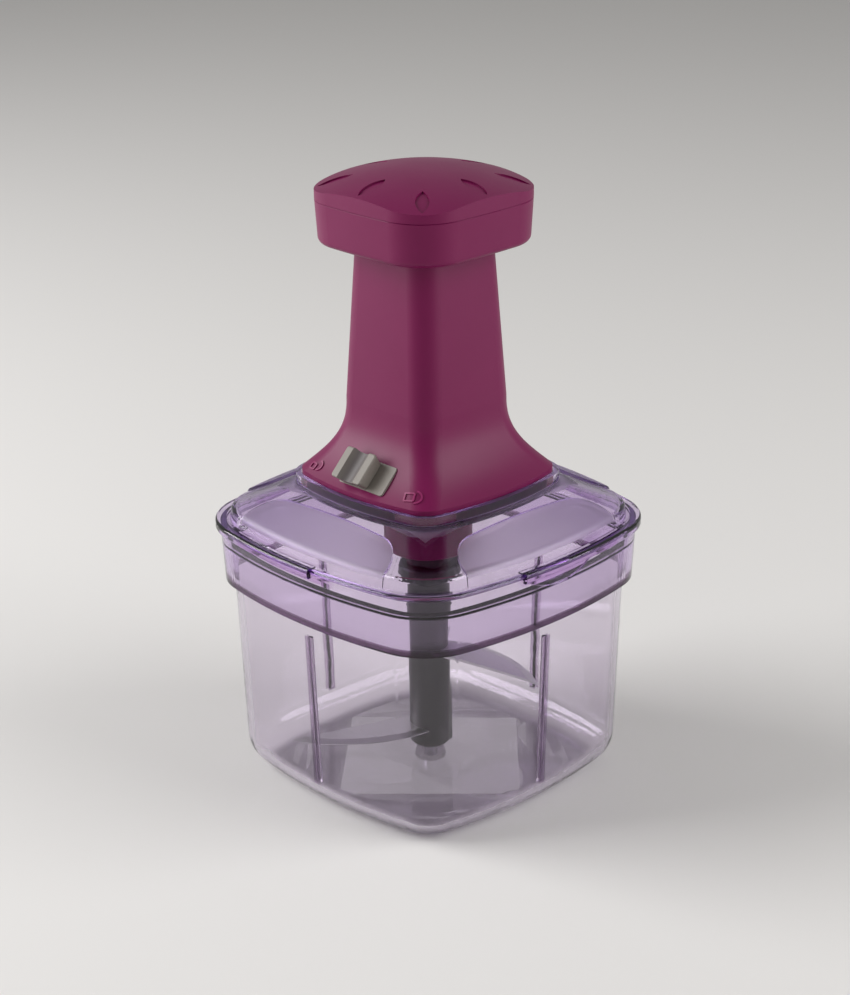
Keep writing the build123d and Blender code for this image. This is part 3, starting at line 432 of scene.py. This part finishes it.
def drawn_metal(name, colour, rough, lines_per_metre):
    """Bare metal with fine drawn lines along one direction"""
    material = bpy.data.materials.new(name)
    material.use_nodes = True
    tree = material.node_tree
    shader = tree.nodes["Principled BSDF"]
    shader.inputs["Metallic"].default_value = 1
    shader.inputs["Base Color"].default_value = (*colour, 1)
    place = tree.nodes.new("ShaderNodeTexCoord")
    stretch = tree.nodes.new("ShaderNodeMapping")
    stretch.inputs["Scale"].default_value = lines_per_metre
    tree.links.new(place.outputs["Object"], stretch.inputs["Vector"])
    lines = noise(tree, stretch.outputs["Vector"], 1, LINE_DETAIL)
    gloss = in_range(tree, lines, rough - SMOOTHER, rough + ROUGHER)
    tree.links.new(gloss, shader.inputs["Roughness"])
    normal = rippled_normal(tree, lines, LINE_STRENGTH, LINE_DEPTH)
    tree.links.new(normal, shader.inputs["Normal"])
    return material


blade_steel = drawn_metal("blade_steel", BLADE_COLOUR, 0.30, lines_per_metre=(160, 2600, 160))
bar_steel = drawn_metal("bar_steel", BAR_COLOUR, 0.30, lines_per_metre=(2500, 2500, 120))
brass = drawn_metal("brass", BRASS_COLOUR, 0.28, lines_per_metre=(1200, 1200, 300))
for piece in ("lower_blade", "middle_blade", "upper_blade"):
    finish_node(piece, blade_steel)
for piece in ("centre_pin", "twist_spindle", "driver_pin", "return_spring", "housing_screws",
              "sleeve_screws", "nut_screws"):
    finish_node(piece, bar_steel)
finish_node("spindle_bush", brass)


# The bowl: one clear moulding with a faint violet cast, polished in the mould. It has fine
# scratches from washing, and its ribs carry a painted shade, darker than its thin walls.
SCRATCH_SIZE = 90
SCRATCH_DETAIL = 3
SCRATCH_STRETCH = (1, 14, 14)
SCRATCH_TURNS = ((0.3, 0.2, 0.5), (-0.6, 0.4, 2.0))
SCRATCH_FROM = 0.70
SCRATCH_FULL = 0.78
CLOUD_SIZE = 35
CLOUD_DETAIL = 2
PLASTIC_IOR = 1.49
POLISHED = 0.02
SCRATCHED = 0.13
RIPPLE_STRENGTH = 0.25
RIPPLE_DEPTH = 0.0004
BOWL_TINT = (0.95, 0.925, 0.96)
BOWL_DEPTH_TINT = (0.58, 0.44, 0.72)
BOWL_DENSITY = 48
RIB_PAINTED_SHADE = (0.34, 0.24, 0.38)
RIB_HALF = 0.0014
RIB_INNER = 0.050
RIB_OUTER = 0.0605
RIB_BOTTOM = 0.0110
RIB_TOP = 0.0705


def clear_skin_group():
    """Fine crossing scratches and soft cloudy patches on a polished moulding"""
    group = bpy.data.node_groups.new("clear_skin", "ShaderNodeTree")
    for name in ("Scratches", "Clouds"):
        group.interface.new_socket(name, in_out="OUTPUT", socket_type="NodeSocketFloat")
    leave = group.nodes.new("NodeGroupOutput")
    place = group.nodes.new("ShaderNodeTexCoord").outputs["Object"]
    marks = []
    for turn in SCRATCH_TURNS:
        lay = group.nodes.new("ShaderNodeMapping")
        lay.inputs["Rotation"].default_value = turn
        lay.inputs["Scale"].default_value = SCRATCH_STRETCH
        group.links.new(place, lay.inputs["Vector"])
        streak = noise(group, lay.outputs["Vector"], SCRATCH_SIZE, SCRATCH_DETAIL)
        marks.append(above(group, streak, SCRATCH_FULL, SCRATCH_FULL - SCRATCH_FROM))
    group.links.new(joined(group, "MAXIMUM", *marks), leave.inputs["Scratches"])
    group.links.new(noise(group, place, CLOUD_SIZE, CLOUD_DETAIL), leave.inputs["Clouds"])
    return group


clear_skin = clear_skin_group()


def clear_plastic(name, tint, depth_tint, density):
    """Clear moulded plastic, tinted at its skin and through its thickness"""
    material = bpy.data.materials.new(name)
    material.use_nodes = True
    tree = material.node_tree
    shader = tree.nodes["Principled BSDF"]
    shader.inputs["Transmission Weight"].default_value = 1
    shader.inputs["IOR"].default_value = PLASTIC_IOR
    shader.inputs["Base Color"].default_value = (*tint, 1)
    skin = tree.nodes.new("ShaderNodeGroup")
    skin.node_tree = clear_skin
    worn = in_range(tree, skin.outputs["Scratches"], POLISHED, SCRATCHED)
    tree.links.new(worn, shader.inputs["Roughness"])
    normal = rippled_normal(tree, skin.outputs["Clouds"], RIPPLE_STRENGTH, RIPPLE_DEPTH)
    tree.links.new(normal, shader.inputs["Normal"])
    absorb = tree.nodes.new("ShaderNodeVolumeAbsorption")
    absorb.inputs["Color"].default_value = (*depth_tint, 1)
    absorb.inputs["Density"].default_value = density
    tree.links.new(absorb.outputs["Volume"], tree.nodes["Material Output"].inputs["Volume"])
    return material


def magnitude(tree, value):
    """A number without its sign"""
    node = tree.nodes.new("ShaderNodeMath")
    node.operation = "ABSOLUTE"
    tree.links.new(value, node.inputs[0])
    return node.outputs[0]


def side_places(tree):
    """How far a point lies beside its side's middle, out from the axis, and up, in metres"""
    x, y, z = place_axes(tree)
    across_x = magnitude(tree, x)
    across_y = magnitude(tree, y)
    beside = joined(tree, "MINIMUM", across_x, across_y)
    out = joined(tree, "MAXIMUM", across_x, across_y)
    return beside, out, z


def bowl_plastic():
    """The bowl's clear plastic, with a painted shade on the ribs"""
    material = clear_plastic("bowl_clear", BOWL_TINT, BOWL_DEPTH_TINT, BOWL_DENSITY)
    tree = material.node_tree
    beside, out, z = side_places(tree)
    near_rib = below(tree, beside, RIB_HALF, 0.0003)
    at_wall = between(tree, out, RIB_INNER, RIB_OUTER, 0.0005)
    rib_height = between(tree, z, RIB_BOTTOM, RIB_TOP, 0.0005)
    rib_shade_mask = joined(tree, "MULTIPLY", joined(tree, "MULTIPLY", near_rib, at_wall), rib_height)
    # Painted shade: a darker colour on the ribs, standing in for the dark lines clear ribs show.
    lay_over(tree, "Base Color", RIB_PAINTED_SHADE, rib_shade_mask)
    return material


finish_node("bowl", bowl_plastic())


# The lid: one clear moulding tinted violet, with a painted dark shade along its skirt's edge
# and the collar's top edge, and a painted violet glow along its thick rim. The roof's four
# raised pads and the well's floor are satin.
LID_TINT = (0.90, 0.84, 0.93)
LID_DEPTH_TINT = (0.53, 0.27, 0.78)
LID_DENSITY = 80
LID_EDGE_PAINTED_SHADE = (0.13, 0.07, 0.13)
SKIRT_EDGE_TOP = 0.0790
COLLAR_INNER = 0.0384
COLLAR_EDGE_BOTTOM = 0.1152
RIM_PAINTED_GLOW = (0.60, 0.34, 0.70)
RIM_INNER = 0.0646
RIM_BOTTOM = 0.0960
RIM_TOP = 0.1040
PAD_ROUND_BESIDE = 0.0245
PAD_ROUND_OUT = 0.0586
PAD_ROUND = 0.0126
PAD_BOTTOM = 0.1035
WELL_OUTER = 0.0390
WELL_BOTTOM = 0.1110
WELL_TOP = 0.1144
SATIN = 0.42


def beyond(tree, value, edge, way):
    """How far a value lies past an edge, upwards where way is 1, downwards where it is -1"""
    node = tree.nodes.new("ShaderNodeMapRange")
    node.inputs["From Min"].default_value = edge
    node.inputs["From Max"].default_value = edge + way
    tree.links.new(value, node.inputs["Value"])
    return node.outputs["Result"]


def reach(tree, first, second):
    """The length of the slanting side over two straight ones"""
    pair = tree.nodes.new("ShaderNodeCombineXYZ")
    tree.links.new(first, pair.inputs["X"])
    tree.links.new(second, pair.inputs["Y"])
    length = tree.nodes.new("ShaderNodeVectorMath")
    length.operation = "LENGTH"
    tree.links.new(pair.outputs["Vector"], length.inputs[0])
    return length.outputs["Value"]


def lid_plastic():
    """The lid's tinted plastic: painted shade on its edges, a painted violet glow on the rim, and
    satin pads, well and collar
    """
    material = clear_plastic("lid_tint", LID_TINT, LID_DEPTH_TINT, LID_DENSITY)
    tree = material.node_tree
    beside, out, z = side_places(tree)
    # Painted shade: the skirt's bottom edge and the collar's top edge are darkened.
    skirt_edge = below(tree, z, SKIRT_EDGE_TOP, 0.0003)
    collar_side = above(tree, out, COLLAR_INNER, 0.0001)
    collar_edge = joined(tree, "MULTIPLY", collar_side, above(tree, z, COLLAR_EDGE_BOTTOM, 0.0003))
    lay_over(tree, "Base Color", LID_EDGE_PAINTED_SHADE, joined(tree, "MAXIMUM", skirt_edge, collar_edge))
    # Painted glow: a deeper violet laid on the thick rim, standing in for light through it.
    rim_side = above(tree, out, RIM_INNER, 0.0004)
    rim_height = between(tree, z, RIM_BOTTOM, RIM_TOP, 0.0005)
    lay_over(tree, "Base Color", RIM_PAINTED_GLOW, joined(tree, "MULTIPLY", rim_side, rim_height))
    past_side = beyond(tree, beside, PAD_ROUND_BESIDE, 1)
    past_front = beyond(tree, out, PAD_ROUND_OUT, -1)
    pad_plan = below(tree, reach(tree, past_side, past_front), PAD_ROUND, 0.0003)
    pad = joined(tree, "MULTIPLY", pad_plan, above(tree, z, PAD_BOTTOM, 0.0005))
    well_plan = below(tree, out, WELL_OUTER, 0.0003)
    well_height = between(tree, z, WELL_BOTTOM, WELL_TOP, 0.0001)
    well = joined(tree, "MULTIPLY", well_plan, well_height)
    pads_and_well = joined(tree, "MAXIMUM", pad, well)
    lay_over(tree, "Roughness", SATIN, joined(tree, "MAXIMUM", pads_and_well, collar_edge))
    return material


finish_node("lid", lid_plastic())
